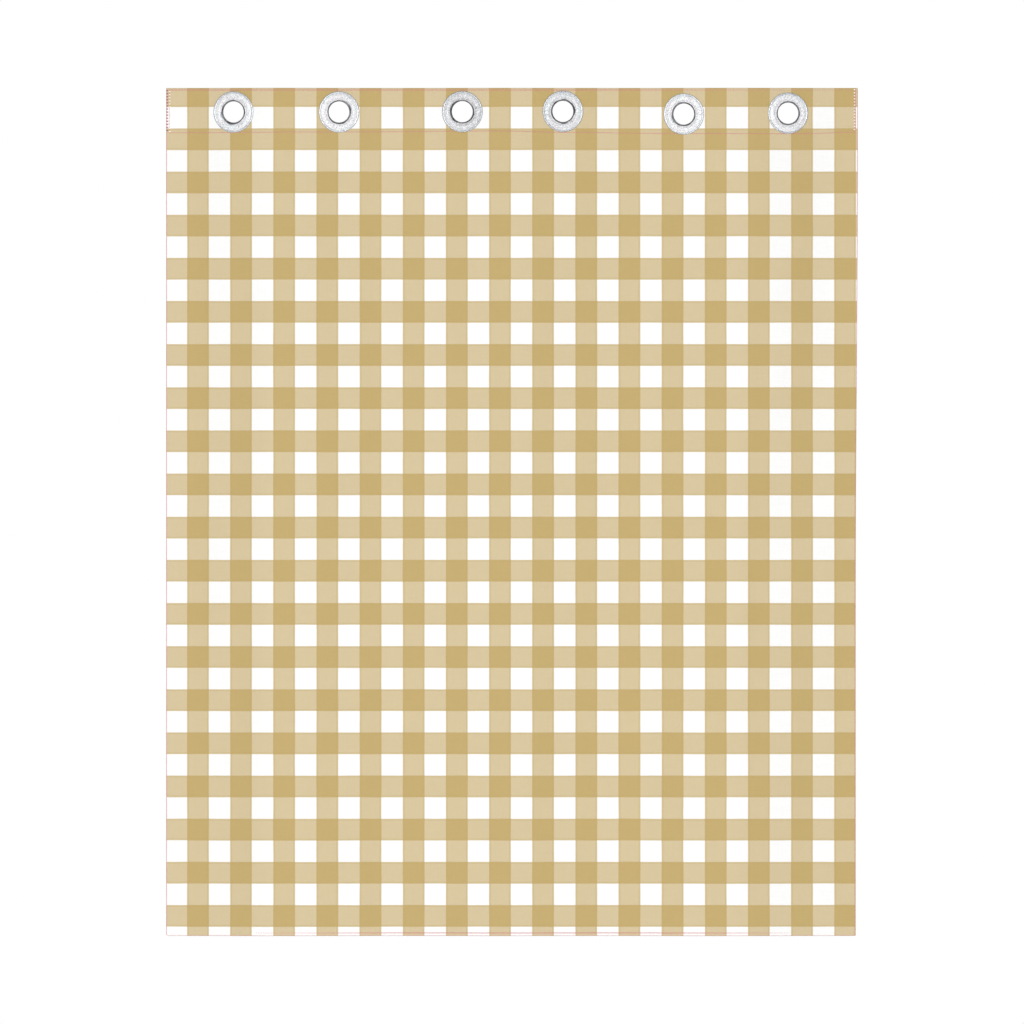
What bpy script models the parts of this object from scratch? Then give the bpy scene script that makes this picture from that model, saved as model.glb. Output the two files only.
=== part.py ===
"""An eyelet curtain: one hanging cloth panel, its turned-down heading and six snap-together eyelets.

Metres, +Z up, +X to the right as the curtain is seen, -Y towards the viewer. The origin is the middle of
the top edge, within the cloth's thickness, where the curtain is held up.
"""

import math

import bmesh
import bpy
from mathutils import Matrix, Vector

# The finished curtain, held out nearly flat
TOP_WIDTH = 1.143
HEM_WIDTH = 1.140
DROP = 1.400
CLOTH = 0.0012
CLEARANCE = 0.0003

# The heading is folded to the back and stitched down along its lower edge. It is made in one length
# for each eyelet, parted midway between them, so that a rod's way through every eyelet stays open.
HEADING_DROP = 0.0735
FOLD_ROUNDING = 0.0009
ROUNDING_STEPS = 2
END_SPARE = 0.003
CUTTER_DEPTH = 0.02

# The bottom hem is a narrow fold, one layer thicker than the cloth above it
HEM_DROP = 0.007
HEM_STEP = 0.001

# An eyelet's front half carries the barrel, and its back half snaps over the barrel behind the cloth.
# From the lip's crest the way in narrows to the bore.
BORE_RADIUS = 0.0175
LIP_RADIUS = 0.0207
BARREL_RADIUS = 0.0210
FRONT_RADIUS = 0.0340
FRONT_RISE = 0.0040
BACK_RADIUS = 0.0330
BACK_RISE = 0.0030
FACETS = 32

# Where each eyelet's centre lies along and below the top edge, and how far the cloth turns it, in degrees.
# Between eyelets the cloth bows to the front and to the back in turn.
EYELETS = (
    {"x": -0.460, "drop": 0.0395, "turn": -14},
    {"x": -0.286, "drop": 0.0395, "turn": 11},
    {"x": -0.082, "drop": 0.0390, "turn": -9},
    {"x": 0.084, "drop": 0.0385, "turn": 9},
    {"x": 0.284, "drop": 0.0430, "turn": -12},
    {"x": 0.456, "drop": 0.0415, "turn": 13},
)
HELD_FLAT = 0.036

# Below the heading the bows lean, deepen and take on a shallow ripple towards the hem
SLACK_FROM = 0.085
HEM_SWELL = 0.12
LEAN = 0.020
LEAN_LENGTH = 0.90
RIPPLE = 0.0030
RIPPLE_LENGTH = 0.47
RIPPLE_SHIFT = 0.11

# Spacing of the cloth's points
COLUMN = 0.020
ROW = 0.095

CLOTH_COLOUR = (0.701, 0.578, 0.356, 1.0)
EYELET_COLOUR = (0.80, 0.80, 0.82, 1.0)


def fold_knots():
    """(x, y, slope) along the top edge: straight under each flange and level at the two side edges."""
    knots = []
    for eyelet in EYELETS:
        slope = math.tan(math.radians(eyelet["turn"]))
        for reach in (-HELD_FLAT, HELD_FLAT):
            knots.append((eyelet["x"] + reach, reach * slope, slope))
    half = TOP_WIDTH / 2
    x, y, slope = knots[0]
    left = (-half, y - slope * (x + half) / 2, 0.0)
    x, y, slope = knots[-1]
    right = (half, y + slope * (half - x) / 2, 0.0)
    return [left, *knots, right]


KNOTS = fold_knots()


def fold(x):
    """How far behind the eyelets' centres the cloth's face lies at x, along the top edge."""
    x = min(max(x, KNOTS[0][0]), KNOTS[-1][0])
    spans = zip(KNOTS, KNOTS[1:])
    (x0, y0, slope0), (x1, y1, slope1) = next(span for span in spans if x <= span[1][0])
    length = x1 - x0
    t = (x - x0) / length
    from_left = (1 + 2 * t) * (1 - t) ** 2 * y0 + t * (1 - t) ** 2 * length * slope0
    from_right = t * t * (3 - 2 * t) * y1 - t * t * (1 - t) * length * slope1
    return from_left + from_right


# The plane of the eyelets' centres, which puts the origin inside the heading's two layers
EYELET_PLANE = -fold(0.0) - CLOTH


def slack(drop):
    """0 as far as the eyelets reach, rising smoothly to 1 at the hem."""
    t = min(max((drop - SLACK_FROM) / (DROP - SLACK_FROM), 0.0), 1.0)
    return t * t * (3 - 2 * t)


def hanging(across, drop):
    """The place of a point of the cloth's front face, given where it is across the top and down the cloth."""
    loose = slack(drop)
    left = -TOP_WIDTH / 2
    x = left + (across - left) * (1 - loose * (1 - HEM_WIDTH / TOP_WIDTH))
    lean = LEAN * loose * math.sin(math.tau * across / LEAN_LENGTH)
    ripple = RIPPLE * loose * math.sin(math.tau * (across + RIPPLE_SHIFT) / RIPPLE_LENGTH)
    y = EYELET_PLANE + (1 + HEM_SWELL * loose) * fold(across + lean) + ripple
    return Vector((x, y, -drop))


def steps_between(places, longest):
    """The given places with evenly spaced ones added, none further apart than about longest."""
    filled = [places[0]]
    for start, end in zip(places, places[1:]):
        count = max(1, round((end - start) / longest))
        filled += [start + (end - start) * step / count for step in range(1, count + 1)]
    return filled


def material(name, colour, roughness, metallic):
    made = bpy.data.materials.new(name)
    made.use_nodes = True
    shader = made.node_tree.nodes["Principled BSDF"]
    shader.inputs["Base Color"].default_value = colour
    shader.inputs["Roughness"].default_value = roughness
    shader.inputs["Metallic"].default_value = metallic
    made.diffuse_color = colour
    return made


def collection(name):
    made = bpy.data.collections.new(name)
    bpy.context.scene.collection.children.link(made)
    return made


def add_object(name, mesh, group, finish=None):
    made = bpy.data.objects.new(name, mesh)
    group.objects.link(made)
    if finish:
        mesh.materials.append(finish)
    return made


def settle(obj):
    """Replaces the object's mesh with its evaluated one, shaded smooth but for its real corners."""
    bpy.context.view_layer.update()
    graph = bpy.context.evaluated_depsgraph_get()
    obj.data = bpy.data.meshes.new_from_object(obj.evaluated_get(graph))
    obj.data.name = obj.name
    obj.modifiers.clear()
    obj.data.shade_smooth()
    obj.data.set_sharp_from_angle(angle=math.radians(35))


def cloth_face(name, columns, rows):
    """A grid with a point at each column and row, hanging as the cloth's front face does."""
    mesh = bpy.data.meshes.new(name)
    grid = bmesh.new()
    last_column, last_row = len(columns) - 1, len(rows) - 1
    bmesh.ops.create_grid(grid, x_segments=last_column, y_segments=last_row, size=0.5)
    for point in grid.verts:
        across = columns[round((point.co.x + 0.5) * last_column)]
        drop = rows[round((0.5 - point.co.y) * last_row)]
        point.co = hanging(across, drop)
    grid.to_mesh(mesh)
    grid.free()
    return mesh


def thicken(obj, thickness):
    """Gives the cloth its thickness, all of it behind the front face."""
    solid = obj.modifiers.new("thickness", "SOLIDIFY")
    solid.thickness = thickness
    solid.offset = -1
    solid.use_even_offset = True
    return solid


def eyelet_pose(eyelet):
    """Places an eyelet's own axis, which is +Z and towards the front, across the cloth it is set in."""
    centre = Vector((eyelet["x"], EYELET_PLANE, -eyelet["drop"]))
    turn = Matrix.Rotation(math.radians(eyelet["turn"]), 4, "Z")
    upright = Matrix.Rotation(math.radians(90), 4, "X")
    facet_on_top = Matrix.Rotation(math.pi / FACETS, 4, "Z")
    return Matrix.Translation(centre) @ turn @ upright @ facet_on_top


def turned_ring(name, profile, group, finish):
    """A ring turned from a closed profile of (radius, height) points that runs down its outer side."""
    mesh = bpy.data.meshes.new(name)
    outline = bmesh.new()
    points = [outline.verts.new((radius, 0.0, height)) for radius, height in profile]
    for start, end in zip(points, points[1:] + points[:1]):
        outline.edges.new((start, end))
    outline.to_mesh(mesh)
    outline.free()
    ring = add_object(name, mesh, group, finish)
    screw = ring.modifiers.new("turned", "SCREW")
    screw.axis = "Z"
    screw.steps = FACETS
    screw.render_steps = FACETS
    screw.use_merge_vertices = True
    screw.merge_threshold = 0.00001
    return ring


def front_profile():
    """The front half: the bore, its rounded lip, a groove, a domed flange and the barrel behind it."""
    seat = CLEARANCE
    barrel_end = -(2 * CLOTH + CLEARANCE + BACK_RISE)
    chamfer = 0.0005
    return (
        (BORE_RADIUS, FRONT_RISE * 0.20),
        (BORE_RADIUS + 0.0011, FRONT_RISE * 0.52),
        (LIP_RADIUS, FRONT_RISE * 0.88),
        (LIP_RADIUS + 0.0013, FRONT_RISE * 0.66),
        (LIP_RADIUS + 0.0027, FRONT_RISE * 0.88),
        (LIP_RADIUS + 0.0060, FRONT_RISE),
        (FRONT_RADIUS - 0.0030, FRONT_RISE * 0.80),
        (FRONT_RADIUS, FRONT_RISE * 0.28),
        (FRONT_RADIUS - chamfer, seat),
        (BARREL_RADIUS, seat),
        (BARREL_RADIUS, barrel_end + chamfer),
        (BARREL_RADIUS - chamfer, barrel_end),
        (BORE_RADIUS, barrel_end),
    )


def back_profile():
    """The back half: a plain domed washer that fits round the barrel."""
    seat = -(2 * CLOTH + CLEARANCE)
    inner = BARREL_RADIUS + CLEARANCE
    return (
        (BACK_RADIUS - 0.0004, seat),
        (BACK_RADIUS, seat - BACK_RISE * 0.25),
        (BACK_RADIUS - 0.0020, seat - BACK_RISE * 0.75),
        (BACK_RADIUS - 0.0060, seat - BACK_RISE),
        (inner, seat - BACK_RISE * 0.85),
        (inner, seat),
    )


def add_cutter(name, shape, group):
    """An object that only cuts others, from a bmesh shape, which is used up."""
    mesh = bpy.data.meshes.new(name)
    shape.to_mesh(mesh)
    shape.free()
    cutter = add_object(name, mesh, group)
    cutter.hide_render = True
    cutter.display_type = "WIRE"
    return cutter


def barrel_hole(number, eyelet, group):
    """A round cutter through the heading, as wide as the eyelet's barrel and its clearance."""
    shape = bmesh.new()
    radius = BARREL_RADIUS + CLEARANCE
    bmesh.ops.create_cone(
        shape, cap_ends=True, segments=FACETS, radius1=radius, radius2=radius, depth=CUTTER_DEPTH
    )
    cutter = add_cutter(f"hole_{number}", shape, group)
    cutter.matrix_world = eyelet_pose(eyelet)
    return cutter


def length_block(number, start, end, group):
    """A block round one length of the heading, which trims its ends square."""
    shape = bmesh.new()
    size = Vector((end - start - CLEARANCE, CUTTER_DEPTH * 4, HEADING_DROP * 2))
    middle = Vector(((start + end) / 2, 0.0, -HEADING_DROP / 2))
    bmesh.ops.create_cube(shape, size=1.0, matrix=Matrix.LocRotScale(middle, None, size))
    return add_cutter(f"length_{number}", shape, group)


def make_heading(group, cutters, finish):
    """The heading's two layers as one length to each eyelet, which is holed for the barrel."""
    half = TOP_WIDTH / 2
    between = [(left["x"] + right["x"]) / 2 for left, right in zip(EYELETS, EYELETS[1:])]
    partings = [-half - END_SPARE, *between, half + END_SPARE]
    for number, (eyelet, start, end) in enumerate(zip(EYELETS, partings, partings[1:]), 1):
        lowest, highest = max(start - END_SPARE, -half), min(end + END_SPARE, half)
        inside = [knot[0] for knot in KNOTS if lowest < knot[0] < highest]
        across = steps_between([lowest, *inside, highest], COLUMN)
        face = cloth_face(f"heading_{number}", across, [0.0, HEADING_DROP])
        heading = add_object(f"heading_{number}", face, group, finish)
        thicken(heading, 2 * CLOTH)
        rounding = heading.modifiers.new("rounding", "BEVEL")
        rounding.width = FOLD_ROUNDING
        rounding.segments = ROUNDING_STEPS
        rounding.limit_method = "ANGLE"
        rounding.angle_limit = math.radians(60)
        trim = heading.modifiers.new("trim", "BOOLEAN")
        trim.operation = "INTERSECT"
        trim.object = length_block(number, start, end, cutters)
        hole = heading.modifiers.new("hole", "BOOLEAN")
        hole.object = barrel_hole(number, eyelet, cutters)
        settle(heading)


def make_panel(group, finish):
    """The single layer below the heading's seam, with its narrow hem along the bottom."""
    across = steps_between([knot[0] for knot in KNOTS], COLUMN)
    hem_top = DROP - HEM_DROP
    down = steps_between([HEADING_DROP + CLEARANCE, hem_top - HEM_STEP], ROW)
    down += [hem_top, DROP]
    panel = add_object("panel", cloth_face("panel", across, down), group, finish)
    hem = panel.vertex_groups.new(name="hem")
    in_hem = [point.index for point in panel.data.vertices if -point.co.z > hem_top - HEM_STEP / 2]
    hem.add(in_hem, 1.0, "REPLACE")
    solid = thicken(panel, 2 * CLOTH)
    solid.vertex_group = hem.name
    solid.thickness_vertex_group = 0.5
    settle(panel)


def make_eyelets(group, finish):
    for number, eyelet in enumerate(EYELETS, 1):
        for half, profile in (("front", front_profile()), ("back", back_profile())):
            ring = turned_ring(f"eyelet_{half}_{number}", profile, group, finish)
            ring.matrix_world = eyelet_pose(eyelet)
            settle(ring)


def main():
    for obj in list(bpy.data.objects):
        bpy.data.objects.remove(obj)
    curtain = collection("eyelet_curtain")
    cutters = collection("cutters")
    cloth = material("cloth", CLOTH_COLOUR, 0.9, 0.0)
    silver = material("eyelet_silver", EYELET_COLOUR, 0.35, 0.8)
    make_heading(curtain, cutters, cloth)
    make_panel(curtain, cloth)
    make_eyelets(curtain, silver)


main()
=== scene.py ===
"""The looks of an eyelet curtain in gold and white gingham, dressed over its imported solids.

Metres, +Z up, +X to the right as the curtain is seen, -Y towards the viewer. The cloth is one thin
sheet: its top is turned down to the back and sewn, its foot is turned up into a narrow hem, its raw
edges are overlocked in rose thread, and six pearl silver eyelets are pressed through the heading.
"""

import math

import bpy
import numpy as np
from mathutils import Matrix, Vector


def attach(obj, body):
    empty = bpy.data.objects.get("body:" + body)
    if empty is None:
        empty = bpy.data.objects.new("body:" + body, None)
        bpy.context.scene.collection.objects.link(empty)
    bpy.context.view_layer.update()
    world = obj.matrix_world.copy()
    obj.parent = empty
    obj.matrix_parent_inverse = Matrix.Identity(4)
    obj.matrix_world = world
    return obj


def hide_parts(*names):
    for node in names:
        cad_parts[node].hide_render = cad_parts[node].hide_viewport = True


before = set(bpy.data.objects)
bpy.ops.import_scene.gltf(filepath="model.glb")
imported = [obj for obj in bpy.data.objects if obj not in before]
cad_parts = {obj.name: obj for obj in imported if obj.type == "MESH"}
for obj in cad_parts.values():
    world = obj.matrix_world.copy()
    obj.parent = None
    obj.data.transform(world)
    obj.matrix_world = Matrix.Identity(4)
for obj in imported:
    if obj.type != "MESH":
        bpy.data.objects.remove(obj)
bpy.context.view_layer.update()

TAU = math.tau
MM = 0.001
ACROSS, BACK, UP = np.eye(3)

# The hanging shape, with the sizes of the solids, but its right side draws in sooner and a little more
TOP_WIDTH = 1.143
HEM_WIDTH = 1.1395
NARROWS_FROM = 0.10
NARROW_AT = 0.86
DROP = 1.400
CLOTH = 0.0012
EYELETS = (
    {"x": -0.460, "drop": 0.0395, "turn": -14},
    {"x": -0.286, "drop": 0.0395, "turn": 11},
    {"x": -0.082, "drop": 0.0390, "turn": -9},
    {"x": 0.084, "drop": 0.0385, "turn": 9},
    {"x": 0.284, "drop": 0.0430, "turn": -12},
    {"x": 0.456, "drop": 0.0415, "turn": 13},
)
HELD_FLAT = 0.036
SLACK_FROM = 0.085
HEM_SWELL = 0.12
LEAN = 0.020
LEAN_LENGTH = 0.90
RIPPLE = 0.0030
RIPPLE_LENGTH = 0.47
RIPPLE_SHIFT = 0.11
SIDE = TOP_WIDTH / 2

# The sheet: how thick it is, how far behind the front face each of its layers lies, and its turnings
SHEET = 0.0005
EDGE_INSET = 0.0001
FRONT_LAYER = SHEET / 2
TURNED_LAYER = 0.00205
TURNED_TONGUE = 0.00115
HEM_LAYER = 0.00165
HEM_TONGUE = 0.00095
SEAM = 0.0735
SEAM_ALLOWANCE = 0.0020
HEM_STITCH = DROP - 0.0039
TONGUE = 0.008
HEM_TURNING = 0.0064
TOP_FULLNESS = 0.0003
FOOT_FULLNESS = 0.0010
HOLE_RADIUS = 0.0216
HOLES_END = 0.067
FLANGE_RADIUS = 0.034

# How finely the sheet is meshed: the longest step down each stretch of it, where the heading's fine
# stretch ends and the foot's starts, the steps round the top fold, and the columns between the edges
HEADING_STEP = 0.004
DROP_STEP = 0.010
FOOT_STEP = 0.003
HEM_STEP = 0.002
HEADING_END = 0.081
FOOT_START = 1.371
TOP_FOLD_STEPS = 8
COLUMNS = 227

# Where the heading's seam runs: it was sewn by eye, so it wanders up and down by a few millimetres
SEAM_WANDER = (
    {"x": -0.572, "drop": 0.0738},
    {"x": -0.300, "drop": 0.0726},
    {"x": -0.020, "drop": 0.0710},
    {"x": 0.090, "drop": 0.0733},
    {"x": 0.270, "drop": 0.0750},
    {"x": 0.470, "drop": 0.0754},
    {"x": 0.572, "drop": 0.0727},
)

# Slow waves all over the cloth: their depth, their lengths across and down it, and their turn
UNEVENNESS = (
    {"depth": 0.45 * MM, "across": 0.137, "down": 0.71, "turn": 0.0},
    {"depth": 0.25 * MM, "across": -0.31, "down": 0.193, "turn": 1.3},
)

# Puckers along the stitching: their depth, their spacing, their turn and how far they reach from it
SEAM_PUCKERS = {"depth": 0.40 * MM, "spacing": 0.031, "turn": 0.0, "reach": 0.011}
HEM_PUCKERS = {"depth": 0.35 * MM, "spacing": 0.043, "turn": 1.0, "reach": 0.014}

# Soft creases left by hanging: where each runs across the cloth at its two ends, where it starts and
# fades down the cloth, its half-width, and its depth, which is below 0 where it stands out to the front
CREASES = (
    {"top": -0.520, "foot": -0.505, "start": 0.10, "end": 1.05, "width": 0.016, "depth": 0.0009},
    {"top": -0.392, "foot": -0.425, "start": 0.12, "end": 1.55, "width": 0.024, "depth": -0.0013},
    {"top": -0.232, "foot": -0.210, "start": 0.09, "end": 0.86, "width": 0.018, "depth": 0.0012},
    {"top": -0.150, "foot": -0.175, "start": 0.30, "end": 1.60, "width": 0.030, "depth": -0.0011},
    {"top": -0.015, "foot": 0.012, "start": 0.09, "end": 1.20, "width": 0.020, "depth": 0.0010},
    {"top": 0.128, "foot": 0.150, "start": 0.10, "end": 1.60, "width": 0.026, "depth": -0.0012},
    {"top": 0.232, "foot": 0.215, "start": 0.42, "end": 1.60, "width": 0.019, "depth": 0.0010},
    {"top": 0.338, "foot": 0.372, "start": 0.09, "end": 0.98, "width": 0.022, "depth": -0.0010},
    {"top": 0.415, "foot": 0.400, "start": 0.12, "end": 1.60, "width": 0.017, "depth": 0.0012},
    {"top": 0.530, "foot": 0.515, "start": 0.35, "end": 1.60, "width": 0.018, "depth": -0.0008},
)

# The check: equal stripes of gold thread on white, both ways
CHECK = 0.07130
COLUMN_START = -0.5370
COLUMN_WIDTH = 0.0360
ROW_START = -0.0047
ROW_WIDTH = 0.0359

WHITE = (0.93, 0.93, 0.925)
LIGHT_GOLD = (0.631, 0.513, 0.306)
DEEP_GOLD = (0.526, 0.387, 0.158)
ROSE = (0.66, 0.27, 0.28)
DEEP_ROSE = (0.36, 0.10, 0.13)
PALE_THREAD = (0.97, 0.92, 0.89)
PEARL = (0.75, 0.755, 0.775)
PINK_TINT = (0.80, 0.75, 0.775)
CYAN_TINT = (0.72, 0.785, 0.80)
GROOVE_SHADE = (0.30, 0.30, 0.33)
RIM_SHADE = (0.25, 0.31, 0.37)
BORE_SHADE = (0.075, 0.072, 0.085)
PALE_FLOOR = (0.96, 0.96, 0.95)


# The hanging shape


def smooth_step(t):
    t = np.clip(t, 0.0, 1.0)
    return t * t * (3 - 2 * t)


def fold_knots():
    """x, y and slope along the top edge: straight under each flange and level at the two side edges."""
    knots = []
    for eyelet in EYELETS:
        slope = math.tan(math.radians(eyelet["turn"]))
        for reach in (-HELD_FLAT, HELD_FLAT):
            knots.append((eyelet["x"] + reach, reach * slope, slope))
    x, y, slope = knots[0]
    left = (-SIDE, y - slope * (x + SIDE) / 2, 0.0)
    x, y, slope = knots[-1]
    right = (SIDE, y + slope * (SIDE - x) / 2, 0.0)
    return np.array([left, *knots, right]).T


KNOT_X, KNOT_Y, KNOT_SLOPE = fold_knots()


def fold(x):
    """How far behind the eyelets' centres the cloth's face lies at x, along the top edge."""
    x = np.clip(x, KNOT_X[0], KNOT_X[-1])
    at = np.clip(np.searchsorted(KNOT_X, x) - 1, 0, len(KNOT_X) - 2)
    length = KNOT_X[at + 1] - KNOT_X[at]
    t = (x - KNOT_X[at]) / length
    from_left = (1 + 2 * t) * (1 - t) ** 2 * KNOT_Y[at] + t * (1 - t) ** 2 * length * KNOT_SLOPE[at]
    from_right = t * t * (3 - 2 * t) * KNOT_Y[at + 1] - t * t * (1 - t) * length * KNOT_SLOPE[at + 1]
    return from_left + from_right


EYELET_PLANE = -float(fold(0.0)) - CLOTH


def hanging(across, drop):
    """The smooth front face of the cloth, on the waves that the solids have."""
    loose = smooth_step((drop - SLACK_FROM) / (DROP - SLACK_FROM))
    narrowed = smooth_step((drop - NARROWS_FROM) / (NARROW_AT - NARROWS_FROM))
    x = -SIDE + (across + SIDE) * (1 - narrowed * (1 - HEM_WIDTH / TOP_WIDTH))
    lean = LEAN * loose * np.sin(TAU * across / LEAN_LENGTH)
    ripple = RIPPLE * loose * np.sin(TAU * (across + RIPPLE_SHIFT) / RIPPLE_LENGTH)
    y = EYELET_PLANE + (1 + HEM_SWELL * loose) * fold(across + lean) + ripple
    return np.stack(np.broadcast_arrays(x, y, -drop), axis=-1)


def seam_drop(across):
    """How far down the heading's seam runs at a place across the curtain."""
    places = [knot["x"] for knot in SEAM_WANDER]
    drops = [knot["drop"] for knot in SEAM_WANDER]
    across = np.clip(across, places[0], places[-1])
    at = np.clip(np.searchsorted(places, across) - 1, 0, len(places) - 2)
    places, drops = np.array(places), np.array(drops)
    t = smooth_step((across - places[at]) / (places[at + 1] - places[at]))
    return drops[at] + (drops[at + 1] - drops[at]) * t


def from_eyelet(eyelet, across, drop):
    """Sideways and downward distances from an eyelet's centre, measured along the cloth it is set in."""
    return (across - eyelet["x"]) / math.cos(math.radians(eyelet["turn"])), drop - eyelet["drop"]


def bell(distance, width):
    """1 in the middle of a soft ridge, falling to 0 on both sides of it."""
    return np.exp(-((distance / width) ** 2))


def puckers(along, away, row):
    """Little waves along a row of stitches, which die out away from it."""
    wave = np.sin(TAU * along / row["spacing"] + row["turn"])
    return row["depth"] * wave * np.exp(-np.abs(away) / row["reach"])


def relief(across, drop):
    """How far creases and puckers push the cloth back from its smooth shape."""
    depth = 0.0
    for wave in UNEVENNESS:
        turns = across / wave["across"] + drop / wave["down"]
        depth = depth + wave["depth"] * np.sin(TAU * turns + wave["turn"])
    for crease in CREASES:
        t = (drop - crease["start"]) / (crease["end"] - crease["start"])
        middle = crease["top"] + (crease["foot"] - crease["top"]) * t
        fade = smooth_step(t / 0.22) * (1 - smooth_step((t - 0.72) / 0.28))
        depth = depth + crease["depth"] * fade * bell(across - middle, crease["width"])
    along = across + 0.004 * np.sin(TAU * across / 0.21)
    depth = depth + puckers(along, drop - seam_drop(across), SEAM_PUCKERS)
    depth = depth + puckers(along, DROP - drop, HEM_PUCKERS)
    return held_at_eyelets(depth, across, drop)


def held_at_eyelets(depth, across, drop):
    """Flattens the relief under each eyelet's flange, with fine rays of puckers just outside it."""
    free = np.ones_like(depth)
    rays = np.zeros_like(depth)
    for number, eyelet in enumerate(EYELETS):
        sideways, downward = from_eyelet(eyelet, across, drop)
        distance = np.hypot(sideways, downward)
        outside = distance - FLANGE_RADIUS
        free = free * smooth_step((outside + 0.5 * MM) / 0.014)
        ray = np.cos(7 * np.arctan2(downward, sideways) + number) * np.exp(-outside / 0.011)
        rays = rays + 0.40 * MM * smooth_step(outside / 0.006) * np.where(outside > 0, ray, 0)
    return depth * free + rays


def place(across, drop, behind):
    """Points of the hanging cloth, so far behind its front face."""
    across, drop, behind = np.broadcast_arrays(across, drop, behind)
    probe = MM
    sideways = hanging(across + probe, drop) - hanging(across - probe, drop)
    downward = hanging(across, drop + probe) - hanging(across, drop - probe)
    backward = np.cross(sideways, downward)
    backward /= np.linalg.norm(backward, axis=-1, keepdims=True)
    return hanging(across, drop) + backward * (behind + relief(across, drop))[..., None]


def pressed(across, drop, behind):
    """Draws the turned layers together along the stitching and at the side edges."""
    at_seam = bell(drop - seam_drop(across), 0.0035)
    at_hem = bell(drop - HEM_STITCH, 0.0025)
    at_side = bell(SIDE - np.abs(across), 0.004)
    held = np.maximum(np.maximum(at_seam, at_hem), at_side)
    return FRONT_LAYER + (behind - FRONT_LAYER) * (1 - 0.45 * held)


# Finishes


class Reading:
    """A number that varies over a surface. Arithmetic on it adds Math nodes to its finish."""

    def __init__(self, finish, socket):
        self.finish = finish
        self.socket = socket

    def maths(self, operation, *others):
        sockets = dict(enumerate((self, *others)))
        return self.finish.node("ShaderNodeMath", {"operation": operation}, sockets)

    def __add__(self, other):
        return self.maths("ADD", other)

    __radd__ = __add__

    def __mul__(self, other):
        return self.maths("MULTIPLY", other)

    __rmul__ = __mul__

    def __sub__(self, other):
        return self.maths("SUBTRACT", other)

    def __rsub__(self, other):
        return self.maths("MULTIPLY_ADD", -1.0, other)

    def __truediv__(self, other):
        return self.maths("DIVIDE", other)

    def __abs__(self):
        return self.maths("ABSOLUTE")

    def clamped(self):
        return self.maths("MAXIMUM", 0.0).maths("MINIMUM", 1.0)

    def near(self, middle, reach):
        """1 at one value, falling to 0 this far to either side of it."""
        return (1 - abs(self - middle) / reach).clamped()

    def past(self, start, width):
        """0 up to one value, rising to 1 this far past it."""
        return ((self - start) / width).clamped()

    def sine(self, wavelength):
        return self.maths("MULTIPLY_ADD", TAU / wavelength, 0.0).maths("SINE")


class Finish:
    """A material in the making, which ends in one Principled BSDF."""

    def __init__(self, name):
        self.material = bpy.data.materials.new(name)
        self.material.use_nodes = True
        self.tree = self.material.node_tree
        self.tree.nodes.clear()

    def node(self, kind, settings=None, sockets=None, out=0):
        """Adds a node: its settings are set first, then the values or links of its sockets."""
        made = self.tree.nodes.new(kind)
        for name, value in (settings or {}).items():
            setattr(made, name, value)
        for name, value in (sockets or {}).items():
            if isinstance(value, Reading):
                self.tree.links.new(value.socket, made.inputs[name])
            else:
                made.inputs[name].default_value = value
        return Reading(self, made.outputs[out]) if made.outputs else None

    def mapped(self, name):
        """The two coordinates of one of the mesh's maps."""
        found = self.node("ShaderNodeUVMap", {"uv_map": name}, out="UV")
        parted = self.node("ShaderNodeSeparateXYZ", sockets={"Vector": found}, out="X")
        return parted, Reading(self, parted.socket.node.outputs["Y"])

    def point(self, x, y, z=0.0):
        return self.node("ShaderNodeCombineXYZ", sockets={"X": x, "Y": y, "Z": z})

    def noise(self, where, scale, detail=2.0, rough=0.5):
        """Soft noise about 0, from -0.5 to 0.5."""
        sockets = {"Vector": where, "Scale": scale, "Detail": detail, "Roughness": rough}
        return self.node("ShaderNodeTexNoise", sockets=sockets, out="Fac") - 0.5

    def mix(self, factor, first, second, blend="MIX"):
        """Two colours mixed."""
        colours = [c if isinstance(c, Reading) else (*c, 1.0) for c in (first, second)]
        settings = {"data_type": "RGBA", "blend_type": blend, "clamp_factor": True}
        return self.node("ShaderNodeMix", settings, {0: factor, 6: colours[0], 7: colours[1]}, out=2)

    def shaded(self, colour, brightness):
        """A colour made lighter or darker by a varying number about 1."""
        grey = self.point(brightness, brightness, brightness)
        return self.mix(1.0, colour, grey, "MULTIPLY")

    def bump(self, height, distance, strength=1.0, under=None):
        sockets = {"Height": height, "Distance": distance, "Strength": strength}
        if under:
            sockets["Normal"] = under
        return self.node("ShaderNodeBump", sockets=sockets)

    def done(self, **shader):
        """Ends the material with its shader: each socket's name with _ for a space, and its value."""
        sockets = {name.replace("_", " "): value for name, value in shader.items()}
        surface = self.node("ShaderNodeBsdfPrincipled", sockets=sockets)
        self.node("ShaderNodeOutputMaterial", sockets={"Surface": surface})
        return self.material


def from_middle(place_on, start, width):
    """How far a coordinate lies from the middle of the nearest stripe."""
    shift = CHECK / 2 - start - width / 2
    return abs((place_on + shift).maths("FLOORED_MODULO", CHECK) - CHECK / 2)


def stripe(distance, width):
    """1 inside a stripe and 0 outside it, with an edge as soft as one thread."""
    thread = 0.0006
    return ((width / 2 - distance) / thread + 0.5).clamped()


def stripe_border(distance, width):
    """1 along the inside of a stripe's two edges, where its last threads lie closer together."""
    inset, reach = 0.0021, 0.0014
    return distance.near(width / 2 - inset, reach)


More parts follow.
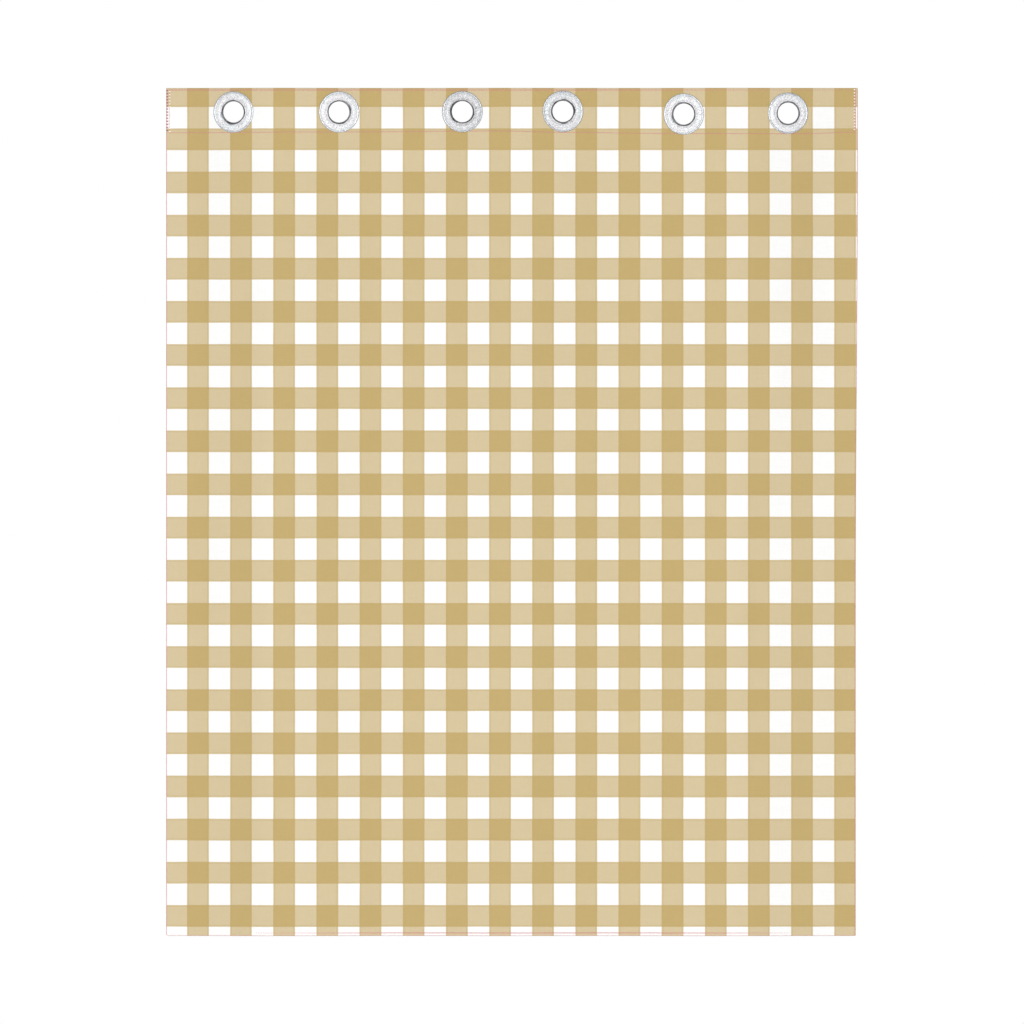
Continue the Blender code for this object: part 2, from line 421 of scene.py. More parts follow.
def gingham():
    """Plain-woven cotton: white and gold threads both ways, with slubs, mottling and fine crumples."""
    finish = Finish("gingham_cotton")
    across, down = finish.mapped("weave")
    where = finish.point(across, down)
    wander = finish.noise(where, 14.0) * 0.0011
    woven_across, woven_down = across + wander, down - wander
    from_column = from_middle(woven_across, COLUMN_START, COLUMN_WIDTH)
    from_row = from_middle(woven_down, ROW_START, ROW_WIDTH)
    columns, rows = stripe(from_column, COLUMN_WIDTH), stripe(from_row, ROW_WIDTH)

    pitch = 0.00112
    crossing = across.sine(pitch) * down.sine(pitch)
    warp_on_top = (crossing * 3.0 + 0.5).clamped()
    even = (columns + rows) * 0.5
    by_thread = columns * warp_on_top + rows * (1 - warp_on_top)
    row_borders = stripe_border(from_row, ROW_WIDTH)
    borders = stripe_border(from_column, COLUMN_WIDTH).maths("MAXIMUM", row_borders)
    gold = even + (by_thread - even) * 0.10 + borders * 0.15
    light = finish.mix((gold * 2.0).clamped(), WHITE, LIGHT_GOLD)
    colour = finish.mix((gold * 2.0 - 1.0).clamped(), light, DEEP_GOLD)

    warp_slubs = finish.noise(finish.point(across * 900.0, down * 22.0), 1.0, 1.0)
    weft_slubs = finish.noise(finish.point(across * 26.0, down * 820.0), 1.0, 1.0)
    mottle = finish.noise(where, 16.0, 3.0)
    brightness = 1.0 + (warp_slubs + weft_slubs) * 0.055 + mottle * 0.030 - borders * 0.030
    colour = finish.shaded(colour, brightness)

    threads = abs(crossing) * 0.6 + (warp_slubs + weft_slubs) * 0.9
    crumples = finish.noise(where, 42.0, 3.0, 0.55)
    crumpled = finish.bump(crumples, 0.0011, 0.55)
    normal = finish.bump(threads, 0.00016, 0.55, crumpled)
    return finish.done(
        Base_Color=colour,
        Roughness=0.90 + mottle * 0.10 - abs(crossing) * 0.05,
        Normal=normal,
        Sheen_Weight=0.03,
        Sheen_Roughness=0.5,
        Specular_IOR_Level=0.25,
    )


def sewing_thread(name, colour):
    """Two-ply spun thread: the twist shows as slanting bands, with painted shade between the plies and
    painted light on them.
    """
    finish = Finish(name)
    along, around = finish.mapped("twist")
    lay = 0.0012
    plies = (along * (TAU / lay) + around * (2 * TAU)).maths("SINE")
    where = finish.point(along * 900.0, around * 6.0)
    fibres = finish.noise(where, 1.0, 2.0)
    worn = finish.noise(finish.point(along * 40.0, around), 1.0, 1.0)
    # plies paints shade between the plies and light on their crowns
    brightness = 1.0 + plies * 0.10 + fibres * 0.20 + worn * 0.16
    return finish.done(
        Base_Color=finish.shaded(colour, brightness),
        Roughness=0.74 + fibres * 0.20,
        Normal=finish.bump(plies * 0.5 + fibres * 0.7, 0.00008, 0.7),
        Sheen_Weight=0.35,
        Sheen_Roughness=0.4,
    )


def pearl_silver():
    """Silver plate under pearl lacquer: fine sparkle and faint tints, with painted shade in the bore, in
    the groove and round the rim, and a painted highlight inside the rim.
    """
    finish = Finish("pearl_silver")
    around, radius = finish.mapped("turned")
    where = finish.node("ShaderNodeTexCoord", out="Object")
    cloudy = finish.noise(where, 95.0, 2.0)
    tinted = finish.noise(where, 60.0, 1.0)
    cells = {"Vector": where, "Scale": 2600.0}
    flakes = finish.node("ShaderNodeTexVoronoi", sockets=cells, out="Color")
    flake = finish.node("ShaderNodeSeparateXYZ", sockets={"Vector": flakes}, out="X")
    brushed = finish.noise(finish.point(around * 60.0, radius * 5200.0), 1.0, 2.0)
    pink_cyan = finish.mix((tinted * 2.2 + 0.5).clamped(), PINK_TINT, CYAN_TINT)
    silver = finish.mix(0.45, PEARL, pink_cyan)
    # Painted shade in the groove between the lip and the dome
    in_groove = radius.near(0.0221, 0.0009)
    grooved = finish.mix(in_groove * 0.28, silver, GROOVE_SHADE)
    # Painted shade: a grey-blue line round the rolled rim, uneven round it; on_rim also makes the rim more
    # metallic and glossier
    on_rim = radius.past(0.0308, 0.0006)
    rim_line = radius.near(0.0312, 0.0006)
    # Painted highlight: a lighter band on the dome just inside the rim, against the shade of its slope
    painted_rim_highlight = radius.near(0.0297, 0.0014)
    rimmed = finish.mix(on_rim * 0.36 + rim_line * (0.32 + cloudy * 0.9), grooved, RIM_SHADE)
    # Painted shade: a dark ring down the bore's wall, uneven round it, where the bore lies in shade
    in_bore = ((0.0204 + tinted * 0.0046 - radius) / 0.0005).clamped()
    edged = finish.mix(in_bore * (0.88 + cloudy * 0.8), rimmed, BORE_SHADE)
    sparkle = finish.noise(where, 640.0, 0.0)
    across = finish.node("ShaderNodeSeparateXYZ", sockets={"Vector": where}, out="X")
    greyer = across.near(-0.03, 0.18) * 0.25
    speckled = (flake - 0.5) * 0.18 + sparkle * 1.20 + cloudy * 0.05 + brushed * 0.08
    brightness = 1.0 + speckled + painted_rim_highlight * 0.14 - greyer
    return finish.done(
        Base_Color=finish.shaded(edged, brightness),
        Metallic=(0.08 + on_rim * 0.45 + cloudy * 0.06).clamped(),
        Roughness=0.46 + (flake - 0.5) * 0.14 + brushed * 0.12 - on_rim * 0.10,
        Coat_Weight=(0.06 + cloudy * 0.08).clamped(),
        Coat_Roughness=0.18,
        Specular_IOR_Level=0.35,
        Normal=finish.bump(flake * 0.5 + brushed * 0.8, 0.00006, 0.6),
    )


def floor_paint():
    finish = Finish("pale_floor")
    where = finish.node("ShaderNodeTexCoord", out="Object")
    clouds = finish.noise(where, 0.8, 3.0)
    return finish.done(
        Base_Color=finish.shaded(PALE_FLOOR, 1.0 + clouds * 0.04),
        Roughness=0.75 + clouds * 0.1,
    )


# Meshes

SHARP_EDGE = math.radians(50)
EYELET_STEPS = 72


def cell_corners(low, high, start, end):
    """A place in a map for each corner of a grid's cells, from the ends of each cell both ways."""
    corners = [np.stack(corner, -1) for corner in ((low, start), (high, start), (high, end), (low, end))]
    return np.stack(corners, axis=-2).reshape(-1, 2)


def add_piece(name, points, faces, maps, finish):
    """A mesh object from its points, its faces and its maps, with a place for each face corner."""
    mesh = bpy.data.meshes.new(name)
    mesh.from_pydata(points.tolist(), [], faces)
    for title, corners in maps.items():
        layer = mesh.uv_layers.new(name=title)
        layer.uv.foreach_set("vector", np.ascontiguousarray(corners, dtype=np.float32).ravel())
    mesh.shade_smooth()
    mesh.set_sharp_from_angle(angle=SHARP_EDGE)
    mesh.materials.append(finish)
    piece = bpy.data.objects.new(name, mesh)
    bpy.context.scene.collection.objects.link(piece)
    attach(piece, "root")
    return piece


def lengths_along(points):
    """How far along a way each of its points lies."""
    return np.concatenate([[0.0], np.cumsum(np.linalg.norm(np.diff(points, axis=0), axis=1))])


def tube(points, reference, radius, sides, first):
    """A closed round tube along points: its points, its sides and caps, and their places in a map."""
    ahead = np.gradient(points, axis=0)
    ahead /= np.linalg.norm(ahead, axis=1, keepdims=True)
    sideways = np.cross(ahead, reference)
    sideways /= np.linalg.norm(sideways, axis=1, keepdims=True)
    upward = np.cross(sideways, ahead)
    angles = np.arange(sides) * TAU / sides
    radii = np.full(len(points), radius)
    radii[[0, -1]] *= 0.4
    cosine, sine = np.cos(angles)[None, :, None], np.sin(angles)[None, :, None]
    out = cosine * sideways[:, None] + sine * upward[:, None]
    rings = points[:, None] + radii[:, None, None] * out
    count = len(points)
    i, j = np.meshgrid(np.arange(count - 1), np.arange(sides), indexing="ij")
    k = (j + 1) % sides
    quads = np.stack([i * sides + j, (i + 1) * sides + j, (i + 1) * sides + k, i * sides + k], axis=-1)
    along = lengths_along(points)
    twist = cell_corners(along[i], along[i + 1], j / sides, (j + 1) / sides)
    start_cap = list(range(sides))
    end_cap = list(range((count - 1) * sides, count * sides))[::-1]
    caps = [[first + n for n in cap] for cap in (start_cap, end_cap)]
    cap_twist = [(along[0], side / sides) for side in start_cap]
    cap_twist += [(along[-1], 1 - side / sides) for side in start_cap]
    return rings.reshape(-1, 3), (quads.reshape(-1, 4) + first).tolist(), caps, twist, cap_twist


def thread_piece(name, ways, radius, finish, slot, sides=6):
    """One mesh of many lengths of thread. Each way is its points and the direction it lies against."""
    points, quads, caps, twist, cap_twist, first = [], [], [], [], [], 0
    for way, reference in ways:
        made = tube(way, reference, radius, sides, first)
        points.append(made[0])
        quads += made[1]
        caps += made[2]
        twist.append(made[3])
        cap_twist += made[4]
        first += len(made[0])
    corners = np.concatenate([*twist, np.array(cap_twist)])
    maps = {"twist": corners, "OFBake": packed_strips(len(quads), len(corners))}
    piece = add_piece(name, np.concatenate(points), quads + caps, maps, finish)
    return piece


def packed_strips(quad_count, corner_count):
    """A map for baking: every quad has a small cell of its own, and the caps share the last one."""
    across = math.ceil(math.sqrt(quad_count + 1))
    cell = 1.0 / across
    at = np.arange(quad_count)
    low = np.stack([at % across, at // across], axis=-1) * cell
    corner = np.array([(0.05, 0.05), (0.95, 0.05), (0.95, 0.95), (0.05, 0.95)]) * cell
    cells = (low[:, None] + corner[None]).reshape(-1, 2)
    spare = corner_count - len(cells)
    last = np.array([quad_count % across, quad_count // across]) * cell
    angles = np.arange(spare) * TAU / 6
    rest = last + cell * (0.5 + 0.4 * np.stack([np.cos(angles), np.sin(angles)], axis=-1))
    return np.concatenate([cells, rest])


def turned_piece(name, profile, eyelet, finish):
    """A ring turned round its eyelet's axis from a closed profile of (radius, height) in millimetres."""
    outline = corners_cut(np.array(profile) * MM)
    count = len(outline)
    angles = (np.arange(EYELET_STEPS) * TAU / EYELET_STEPS)[:, None]
    radius, height = outline.T
    turned = np.broadcast_arrays(np.cos(angles) * radius, np.sin(angles) * radius, height)
    local = np.stack(turned, axis=-1).reshape(-1, 3)
    pose = np.array(eyelet_pose(eyelet))
    points = local @ pose[:3, :3].T + pose[:3, 3]
    i, j = np.meshgrid(np.arange(EYELET_STEPS), np.arange(count), indexing="ij")
    i1, j1 = (i + 1) % EYELET_STEPS, (j + 1) % count
    quads = np.stack([i * count + j, i1 * count + j, i1 * count + j1, i * count + j1], axis=-1)
    way = lengths_along(np.concatenate([outline, outline[:1]]))
    way /= way[-1]
    start, end = i / EYELET_STEPS, (i + 1) / EYELET_STEPS
    maps = {
        "turned": cell_corners(start, end, radius[j], radius[j1]),
        "OFBake": cell_corners(start, end, way[j], way[j + 1]),
    }
    piece = add_piece(name, points, quads.reshape(-1, 4).tolist(), maps, finish)
    return piece


def corners_cut(outline):
    """Rounds a closed outline once by cutting each corner at a quarter of its two sides."""
    ahead = np.roll(outline, -1, axis=0)
    cuts = [outline * 0.75 + ahead * 0.25, outline * 0.25 + ahead * 0.75]
    return np.stack(cuts, axis=1).reshape(-1, 2)


def eyelet_pose(eyelet):
    """Places an eyelet's own axis, which is +Z and towards the front, across the cloth it is set in."""
    centre = Vector((eyelet["x"], EYELET_PLANE, -eyelet["drop"]))
    turn = Matrix.Rotation(math.radians(eyelet["turn"]), 4, "Z")
    return Matrix.Translation(centre) @ turn @ Matrix.Rotation(math.radians(90), 4, "X")


# The cloth


def straight(start, end, behind, longest):
    """Rows down or up one layer, without the first."""
    count = max(1, round(abs(end - start) / longest))
    return [(start + (end - start) * step / count, behind) for step in range(1, count + 1)]


def turning(drop, start, end, bulge, steps):
    """Rows round a fold from one layer to the next, which bulges down the curtain (1) or up it (-1)."""
    middle, radius = (start + end) / 2, abs(end - start) / 2
    angles = [math.pi * step / steps for step in range(1, steps + 1)]
    return [(drop + bulge * radius * math.sin(a), middle + (start - middle) * math.cos(a)) for a in angles]


def cloth_rows():
    """The cloth's whole length as rows of (drop, behind), and the first row of its front layer."""
    turned_foot = SEAM + SEAM_ALLOWANCE - SHEET / 2 - (TURNED_LAYER - TURNED_TONGUE) / 2
    top = (TURNED_LAYER - FRONT_LAYER) / 2 + SHEET / 2 - TOP_FULLNESS
    foot = DROP + FOOT_FULLNESS - SHEET / 2 - (HEM_LAYER - FRONT_LAYER) / 2
    hem_top = DROP - HEM_TURNING
    rows = [(turned_foot - TONGUE, TURNED_TONGUE)]
    rows += straight(rows[0][0], turned_foot, TURNED_TONGUE, HEADING_STEP)
    rows += turning(turned_foot, TURNED_TONGUE, TURNED_LAYER, 1, 4)
    rows += straight(turned_foot, top, TURNED_LAYER, HEADING_STEP)
    rows += turning(top, TURNED_LAYER, FRONT_LAYER, -1, TOP_FOLD_STEPS)
    front = len(rows) - 1
    rows += straight(top, HEADING_END, FRONT_LAYER, HEADING_STEP)
    rows += straight(HEADING_END, FOOT_START, FRONT_LAYER, DROP_STEP)
    rows += straight(FOOT_START, foot, FRONT_LAYER, FOOT_STEP)
    rows += turning(foot, FRONT_LAYER, HEM_LAYER, 1, 5)
    rows += straight(foot, hem_top, HEM_LAYER, HEM_STEP)
    rows += turning(hem_top, HEM_LAYER, HEM_TONGUE, -1, 3)
    rows += straight(hem_top, DROP - 2 * MM, HEM_TONGUE, HEM_STEP)
    return np.array(rows), front


def cloth_columns():
    """Places across the cloth, closer together at its two side edges."""
    inner = SIDE - EDGE_INSET - 4.5 * MM
    middle = np.linspace(-inner, inner, COLUMNS)
    near = inner + np.array([1.8, 3.3, 4.5]) * MM
    return np.concatenate([-near[::-1], middle, near])


def cut_holes(across, drop, way, heading_rows, front):
    """Cuts the eyelets' holes: the cells kept, with the points round a hole drawn onto its circle."""
    cell_across = (across[:-1, :-1] + across[1:, 1:]) / 2
    cell_drop = (drop[:-1, :-1] + drop[1:, 1:]) / 2
    kept = np.ones(cell_across.shape, dtype=bool)
    rows = np.arange(across.shape[0])[:, None]
    direction = np.broadcast_to(np.where(rows < front, -1.0, 1.0), across.shape)
    for eyelet in EYELETS:
        distance = np.hypot(*from_eyelet(eyelet, cell_across, cell_drop))
        gone = (distance < HOLE_RADIUS) & heading_rows[:-1, None]
        kept &= ~gone
        touched = np.zeros(across.shape, dtype=bool)
        beside = np.zeros(across.shape, dtype=bool)
        for down, over in ((0, 0), (0, 1), (1, 0), (1, 1)):
            part = np.s_[down : down + gone.shape[0], over : over + gone.shape[1]]
            touched[part] |= gone
            beside[part] |= ~gone
        rim = touched & beside
        sideways, downward = from_eyelet(eyelet, across[rim], drop[rim])
        stretch = HOLE_RADIUS / np.hypot(sideways, downward)
        moved = eyelet["drop"] + downward * stretch
        way[rim] += direction[rim] * (moved - drop[rim])
        across[rim] = eyelet["x"] + (across[rim] - eyelet["x"]) * stretch
        drop[rim] = moved
    return kept


def make_cloth(finish):
    """The whole cloth as one thin closed sheet, from the heading's tongue to the hem's."""
    rows, front = cloth_rows()
    columns = cloth_columns()
    length = lengths_along(rows)
    across, drop = np.meshgrid(columns, rows[:, 0])
    behind = np.broadcast_to(rows[:, 1][:, None], across.shape)
    way = np.broadcast_to((length - length[front] + rows[front, 0])[:, None], across.shape).copy()
    turned = np.arange(len(rows))[:, None] < front - TOP_FOLD_STEPS
    follows_from, follows_over = 0.060, 0.011
    shift = (seam_drop(across) - SEAM) * smooth_step((drop - follows_from) / follows_over)
    drop = drop + np.where(turned, shift, 0.0)
    layer = np.isclose(rows[:, 1], FRONT_LAYER) | np.isclose(rows[:, 1], TURNED_LAYER)
    kept = cut_holes(across, drop, way, layer & (rows[:, 0] < HOLES_END), front)

    middle = place(across, drop, pressed(across, drop, behind))
    inward = np.cross(np.gradient(middle, axis=1), np.gradient(middle, axis=0))
    inward /= np.linalg.norm(inward, axis=-1, keepdims=True)
    count = middle.shape[0] * middle.shape[1]
    inner = (middle + inward * SHEET / 2).reshape(-1, 3)
    outer = (middle - inward * SHEET / 2).reshape(-1, 3)

    at = np.arange(count).reshape(across.shape)
    quads = np.stack([at[:-1, :-1], at[:-1, 1:], at[1:, 1:], at[1:, :-1]], axis=-1)[kept]
    starts, ends = quads.ravel(), np.roll(quads, -1, axis=1).ravel()
    open_edge = ~np.isin(starts * count + ends, ends * count + starts)
    starts, ends = starts[open_edge], ends[open_edge]
    rim = np.stack([ends, starts, starts + count, ends + count], axis=-1)
    faces = np.concatenate([quads, quads[:, ::-1] + count, rim])

    weave = np.stack([hanging(across, drop)[..., 0].ravel(), way.ravel()], axis=-1)
    margin, rim_width = 0.005, 0.003
    flat = np.stack(
        [
            margin + (1 - 2 * margin) * (across.ravel() + SIDE) / TOP_WIDTH,
            1 - margin - (1 - 2 * margin) * (way - way.min()).ravel() / np.ptp(way),
        ],
        axis=-1,
    )
    edge = flat[ends] - flat[starts]
    outward = np.stack([-edge[:, 1], edge[:, 0]], axis=-1)
    outward *= rim_width / np.linalg.norm(outward, axis=1, keepdims=True)
    rim_flat = np.stack([flat[ends], flat[starts], flat[starts] + outward, flat[ends] + outward], axis=1)
    bake = np.concatenate([flat[quads], flat[quads[:, ::-1]], rim_flat]).reshape(-1, 2)
    maps = {"weave": weave[faces % count].reshape(-1, 2), "OFBake": bake}

    points = np.concatenate([inner, outer])
    used = np.unique(faces)
    renumbered = np.zeros(len(points), dtype=int)
    renumbered[used] = np.arange(len(used))
    cloth = add_piece("curtain_cloth", points[used], renumbered[faces].tolist(), maps, finish)
    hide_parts("panel", *(f"heading_{number}" for number in range(1, len(EYELETS) + 1)))
    return cloth


# The sewing: the length of a stitch, and the points along one stitch and round one overlocked turn

STITCH = 0.0040
STITCH_SAMPLES = 6
OVERLOCK_SAMPLES = 8


def level(drop):
    """A row that stays at one drop."""
    return lambda across: np.full_like(across, drop)


def row_of_stitches(start, end, drop_at, surface, lift, shows=None):
    """A lockstitch thread along the cloth: it lies on the surface and dips into it between stitches.

    Where shows falls from 1 to 0, the tension has pulled the stitches down into the cloth.
    """
    count = round((end - start) / STITCH)
    t = np.linspace(0, count, count * STITCH_SAMPLES + 1)
    across = start + (end - start) * t / count + 0.15 * MM * np.sin(t * 2.399)
    rise = np.sqrt(np.abs(np.sin(math.pi * t)))
    drop = drop_at(across) + 0.05 * MM * np.sin(t * 1.7) + 0.04 * MM * np.sin(TAU * across / 0.083)
    inside = FRONT_LAYER if lift < 0 else surface - FRONT_LAYER
    outside = surface + lift
    sunk = 0.45 * MM
    if shows:
        outside = inside + sunk + (outside - inside - sunk) * shows(across)
        inside = inside + sunk * (1 - shows(across))
    return place(across, drop, inside + (outside - inside) * rise), BACK


def overlock(along, depth, pitch, edge_at, back_at, radius):
    """A thread wound round an edge of the cloth, between two places along it."""
    start, end = along
    turns = round(abs(end - start) / pitch)
    t = np.linspace(0, turns, turns * OVERLOCK_SAMPLES + 1)
    angle = TAU * t
    place_on = start + (end - start) * t / turns
    uneven = 1 + 0.10 * np.sin(t * 2.1) + 0.06 * np.sin(t * 0.37)
    inset = depth * uneven * (1 - np.cos(angle)) / 2
    lift = radius * 0.75
    back = back_at(place_on) + lift
    swing = np.sign(np.sin(angle)) * np.abs(np.sin(angle)) ** 0.6
    behind = (back - lift) / 2 + (back + lift) / 2 * swing
    across, drop = edge_at(place_on, inset)
    return place(across, drop, behind)


def backs_down_a_side(drop):
    """How far back the cloth reaches at a side edge, further in the heading and the hem."""
    turned = pressed(SIDE, 0.03, TURNED_LAYER) + FRONT_LAYER
    in_heading = 1 - smooth_step((drop - seam_drop(SIDE)) / 0.004)
    in_hem = smooth_step((drop - (DROP - 0.009)) / 0.003)
    return SHEET + (turned - SHEET) * np.maximum(in_heading, 0.8 * in_hem)


def side_overlock(side, along, depth, pitch, radius):
    edge = SIDE - 0.25 * MM

    def edge_at(drop, inset):
        return side * (edge - inset), drop

    return overlock(along, depth, pitch, edge_at, backs_down_a_side, radius), UP


def foot_overlock(along, depth, pitch, radius):
    def edge_at(across, inset):
        return across, DROP + FOOT_FULLNESS - inset

    def back_at(across):
        return np.full_like(across, HEM_LAYER)

    return overlock(along, depth, pitch, edge_at, back_at, radius), ACROSS


def bar_stitches(side, inset, length, top, foot, lift):
    """Short single stitches in a column beside a side edge of the heading."""
    pitch = 0.00507
    bend = np.linspace(-0.5, 0.5, 7)
    behind = FRONT_LAYER - (FRONT_LAYER + lift) * np.sqrt(1 - (2 * bend) ** 2 * 0.98)
    ways = []
    for number, drop in enumerate(np.arange(top, foot, pitch)):
        tilt = 0.12 * math.sin(number * 2.4)
        reach = bend * length * (1 + 0.08 * math.sin(number * 1.9))
        ways.append((place(side * (SIDE - inset + reach), drop + reach * tilt, behind), BACK))
    return ways


def down_stitches(side, inset, top, foot):
    """A row of stitches down the heading beside a side edge."""
    pitch, lift = 0.0025, 0.10 * MM
    count = round((foot - top) / pitch)
    t = np.linspace(0, count, count * STITCH_SAMPLES + 1)
    drop = top + (foot - top) * t / count
    behind = FRONT_LAYER - (FRONT_LAYER + lift) * np.sqrt(np.abs(np.sin(math.pi * t)))
    return place(side * (SIDE - inset + 0.1 * MM * np.sin(t)), drop, behind), BACK


def hem_shows(across):
    """The hem's stitches lie on the cloth along its middle and sink into it towards the sides."""
    least = 0.145
    towards_middle = np.clip(np.minimum((across + 0.50) / 0.33, (0.51 - across) / 0.21), 0.0, 1.0)
    return least + (1 - least) * towards_middle**2


def top_shows(across):
    """The stitches under the top edge sink into the cloth little by little towards the right."""
    return 1 - 0.42 * smooth_step((across - 0.05) / 0.47)


def back_of(drop, layer):
    """How far back the turned layer's outer face lies, where the stitching holds it."""
    return float(pressed(0.0, drop, layer)) + FRONT_LAYER


def make_straight_rows(finish):
    """The rows along the heading's seam, the hem and the top edge, each on the front and on the back."""
    reach = SIDE - STITCH
    seam_back = back_of(float(seam_drop(0.0)), TURNED_LAYER)
    hem_back = back_of(HEM_STITCH, HEM_LAYER)
    upper_row, lower_row, row_behind = 2.1 * MM, 4.0 * MM, 3.0 * MM
    top_back = back_of(row_behind, TURNED_LAYER)
    # Each row's name, its thread's radius and its way, how far back the surface lies that it is sewn on,
    # how far back it stands from that surface, and how it shows along the row
    rows = (
        ("seam_stitches", 0.40 * MM, seam_drop, 0.0, -0.26 * MM, None),
        ("seam_stitches_behind", 0.36 * MM, seam_drop, seam_back, 0.20 * MM, None),
        ("hem_stitches", 0.58 * MM, level(HEM_STITCH), 0.0, -0.38 * MM, hem_shows),
        ("hem_stitches_behind", 0.38 * MM, level(HEM_STITCH), hem_back, 0.20 * MM, None),
        ("top_stitches", 0.30 * MM, level(upper_row), 0.0, -0.17 * MM, top_shows),
        ("second_top_stitches", 0.29 * MM, level(lower_row), 0.0, -0.17 * MM, top_shows),
        ("top_stitches_behind", 0.24 * MM, level(row_behind), top_back, 0.12 * MM, None),
    )
    pieces = []
    for name, radius, drop_at, surface, lift, shows in rows:
        way = row_of_stitches(-reach, reach, drop_at, surface, lift, shows)
        pieces.append(thread_piece(name, [way], radius, finish, "seam_thread"))
    return pieces


def make_edge_rows(finish):
    """The overlocking down both side edges and along the foot."""
    side_radius, foot_radius = 0.44 * MM, 0.27 * MM
    down, along = (0.5 * MM, DROP - 0.5 * MM), (1.2 * MM - SIDE, SIDE - 1.2 * MM)
    rows = (
        ("left_overlock", side_radius, side_overlock(-1, down, 0.7 * MM, 1.3 * MM, side_radius)),
        ("right_overlock", side_radius, side_overlock(1, down, 0.7 * MM, 1.3 * MM, side_radius)),
        ("foot_overlock", foot_radius, foot_overlock(along, 1.0 * MM, 1.4 * MM, foot_radius)),
    )
    return [thread_piece(name, [way], radius, finish, "seam_thread", sides=5) for name, radius, way in rows]


def make_heading_ends(rose, deep_rose, pale):
    """The close stitching that shuts the heading's two ends: bars and beads left, beads right."""
    foot = float(seam_drop(SIDE)) - MM
    bars = bar_stitches(-1, 1.6 * MM, 3.1 * MM, 4.0 * MM, foot, 0.60 * MM)
    left_beads = bar_stitches(-1, 5.6 * MM, 2.2 * MM, 5.6 * MM, foot, 0.70 * MM)
    right_beads = bar_stitches(1, 5.3 * MM, 2.0 * MM, 2.4 * MM, foot, 0.70 * MM)
    left_line = [down_stitches(-1, 5.2 * MM, 3.0 * MM, foot)]
    right_lines = [down_stitches(1, inset, 3.0 * MM, foot) for inset in (3.6 * MM, 5.2 * MM)]
    threads = (
        ("left_heading_bars", bars, 0.95 * MM, deep_rose, "seam_thread"),
        ("left_heading_line", left_line, 0.34 * MM, rose, "seam_thread"),
        ("left_heading_beads", left_beads, 1.05 * MM, pale, "white_thread"),
        ("right_heading_lines", right_lines, 0.30 * MM, rose, "seam_thread"),
        ("right_heading_beads", right_beads, 1.00 * MM, pale, "white_thread"),
    )
    return [thread_piece(*thread) for thread in threads]


def make_sewing():
    rose = sewing_thread("rose_thread", ROSE)
    deep_rose = sewing_thread("deep_rose_thread", DEEP_ROSE)
    pale = sewing_thread("pale_thread", PALE_THREAD)
    return [*make_straight_rows(rose), *make_edge_rows(rose), *make_heading_ends(rose, deep_rose, pale)]


# The eyelets

# (radius, height in front of the cloth's face) in millimetres, round the section: the barrel's foot,
# up its outside, under the flange, round its rim, over the dome, through the groove and over the lip
EYELET_FACE = (
    (19.6, -5.7), (20.6, -5.7), (21.0, -5.3), (21.0, -2.6), (21.0, 0.1), (21.5, 0.45), (27.0, 0.5),
    (32.4, 0.45), (33.2, 0.05), (33.7, 0.05), (34.05, 0.35), (34.05, 0.95), (33.75, 1.7), (33.0, 2.2),
    (32.1, 2.35), (31.4, 2.1), (31.0, 1.95), (30.6, 2.2), (30.0, 2.7), (28.8, 3.25), (27.4, 3.6),
    (25.8, 3.8), (24.4, 3.75), (23.2, 3.45), (22.5, 3.05), (22.0, 2.85), (21.6, 3.05), (21.2, 3.45),
    (20.7, 3.55), (20.3, 3.25), (19.6, 2.75), (18.8, 2.2), (18.0, 1.6), (17.5, 1.0), (17.4, 0.6),
    (17.55, 0.0), (18.2, -2.6), (18.8, -5.1), (19.1, -5.6),
)

# The snap ring behind the cloth: up its inside, under its seat, round its rim and over its dome
EYELET_RING = (
    (21.2, -5.0), (21.6, -5.35), (22.2, -5.4), (22.7, -5.0), (23.2, -4.9), (23.8, -5.2), (25.2, -5.55),
    (27.0, -5.7), (29.0, -5.5), (30.8, -4.95), (32.2, -4.1), (32.9, -3.3), (33.1, -2.75), (32.8, -2.35),
    (32.2, -2.3), (31.4, -2.6), (26.0, -2.7), (21.6, -2.6), (21.15, -2.9),
)


def make_eyelets(finish):
    """Each eyelet's face and ring, which take the place of its two solids."""
    faces, rings = [], []
    for number, eyelet in enumerate(EYELETS, 1):
        face = turned_piece(f"eyelet_face_{number}", EYELET_FACE, eyelet, finish)
        ring = turned_piece(f"eyelet_ring_{number}", EYELET_RING, eyelet, finish)
        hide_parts(f"eyelet_front_{number}")
        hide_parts(f"eyelet_back_{number}")
        faces.append(face)
        rings.append(ring)
    return faces, rings


# The studio


def aim(obj, place_at, target):
    obj.location = place_at
    obj.rotation_euler = (Vector(target) - Vector(place_at)).to_track_quat("-Z", "Y").to_euler()
    bpy.context.scene.collection.objects.link(obj)


def add_softbox(name, place_at, size, watts):
    light = bpy.data.lights.new(name, "AREA")
    light.shape = "RECTANGLE"
    light.size, light.size_y = size
    light.energy = watts
    lamp = bpy.data.objects.new(name, light)
    lamp.visible_camera = False
    aim(lamp, place_at, (0.0, 0.0, -DROP / 2))


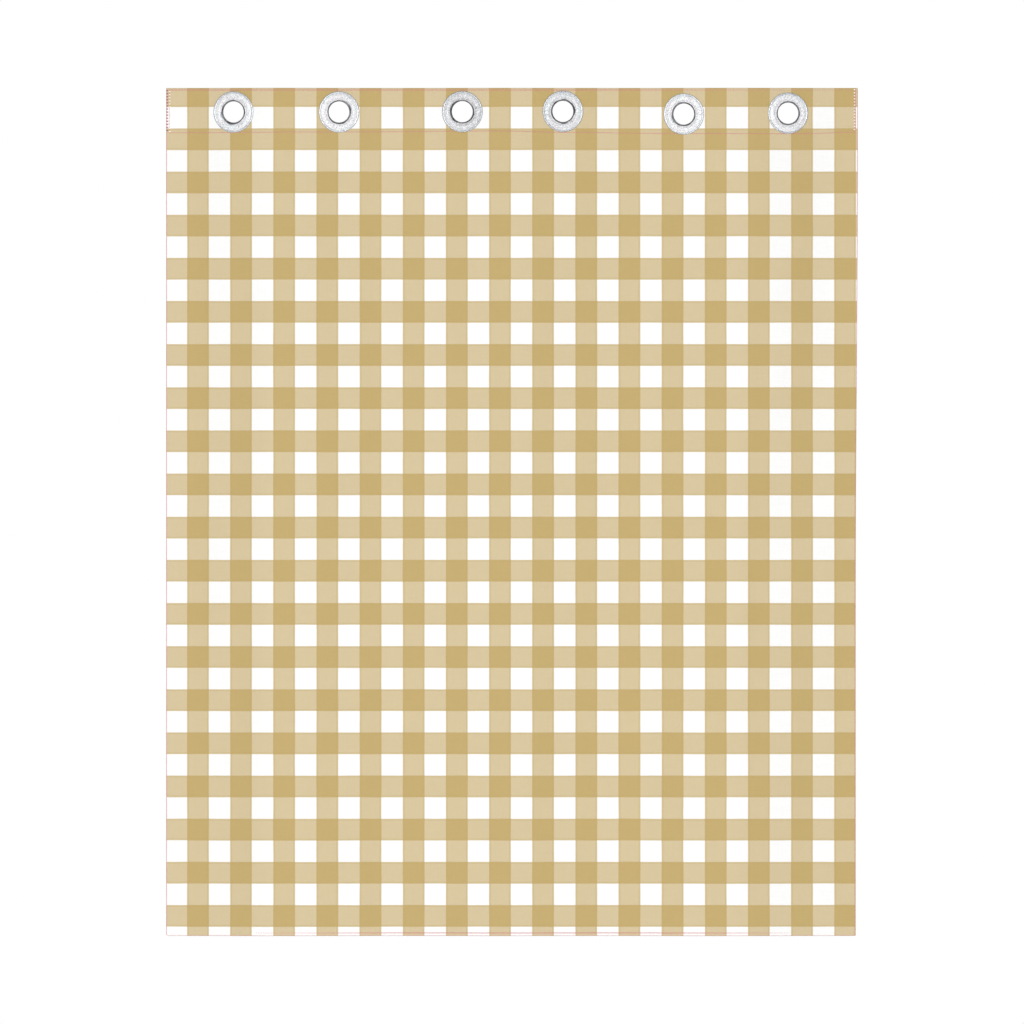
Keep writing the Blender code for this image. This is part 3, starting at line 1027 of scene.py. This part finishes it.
def add_world():
    """Pure white where the camera looks past the object, and soft grey light from all round."""
    world = bpy.data.worlds.new("white_studio")
    world.use_nodes = True
    tree = world.node_tree
    tree.nodes.clear()
    looked_at = tree.nodes.new("ShaderNodeLightPath").outputs["Is Camera Ray"]
    shown, lit = (tree.nodes.new("ShaderNodeBackground") for _ in range(2))
    shown.inputs["Color"].default_value = (1.0, 1.0, 1.0, 1.0)
    lit.inputs["Color"].default_value = (1.0, 1.0, 1.0, 1.0)
    lit.inputs["Strength"].default_value = 0.40
    choice = tree.nodes.new("ShaderNodeMixShader")
    output = tree.nodes.new("ShaderNodeOutputWorld")
    tree.links.new(looked_at, choice.inputs[0])
    tree.links.new(lit.outputs[0], choice.inputs[1])
    tree.links.new(shown.outputs[0], choice.inputs[2])
    tree.links.new(choice.outputs[0], output.inputs["Surface"])
    bpy.context.scene.world = world


def add_floor():
    """A pale round floor, low enough to stay out of the picture seen face on."""
    radius, rim, level_at, steps = 3.85, 0.02, -2.10, 96
    angles = np.arange(steps) * TAU / steps
    rings = [(radius - rim, 0.0), (radius, -rim), (radius, -2 * rim)]
    points = [(r * math.cos(a), r * math.sin(a), z) for r, z in rings for a in angles]
    faces = [list(range(steps))]
    for ring in range(len(rings) - 1):
        for step in range(steps):
            following = (step + 1) % steps
            low, high = ring * steps, (ring + 1) * steps
            faces.append([low + step, high + step, high + following, low + following])
    mesh = bpy.data.meshes.new("floor")
    mesh.from_pydata(points, [], faces)
    mesh.materials.append(floor_paint())
    floor = bpy.data.objects.new("floor", mesh)
    floor.location = (0.0, 0.0, level_at)
    bpy.context.scene.collection.objects.link(floor)


def add_camera():
    """Face on and level with the curtain's middle, from where the picture takes in the right width."""
    width_at_curtain = 1.6919
    middle = (0.0, -0.7005)
    camera = bpy.data.cameras.new("camera")
    camera.lens = 1600.0
    camera.sensor_width = 36.0
    camera.clip_end = 200.0
    distance = width_at_curtain * camera.lens / camera.sensor_width
    view = bpy.data.objects.new("camera", camera)
    aim(view, (middle[0], -distance, middle[1]), (middle[0], 0.0, middle[1]))
    bpy.context.scene.camera = view


def main():
    scene = bpy.context.scene
    scene.view_settings.view_transform = "Standard"
    add_camera()
    add_world()
    add_softbox("front_softbox", (-0.28, -7.0, 0.28), (5.0, 4.0), 345.0)
    add_softbox("back_softbox", (0.7, 7.0, 0.1), (5.0, 4.0), 330.0)
    add_floor()

    cloth = make_cloth(gingham())
    sewing = make_sewing()
    faces, rings = make_eyelets(pearl_silver())


main()
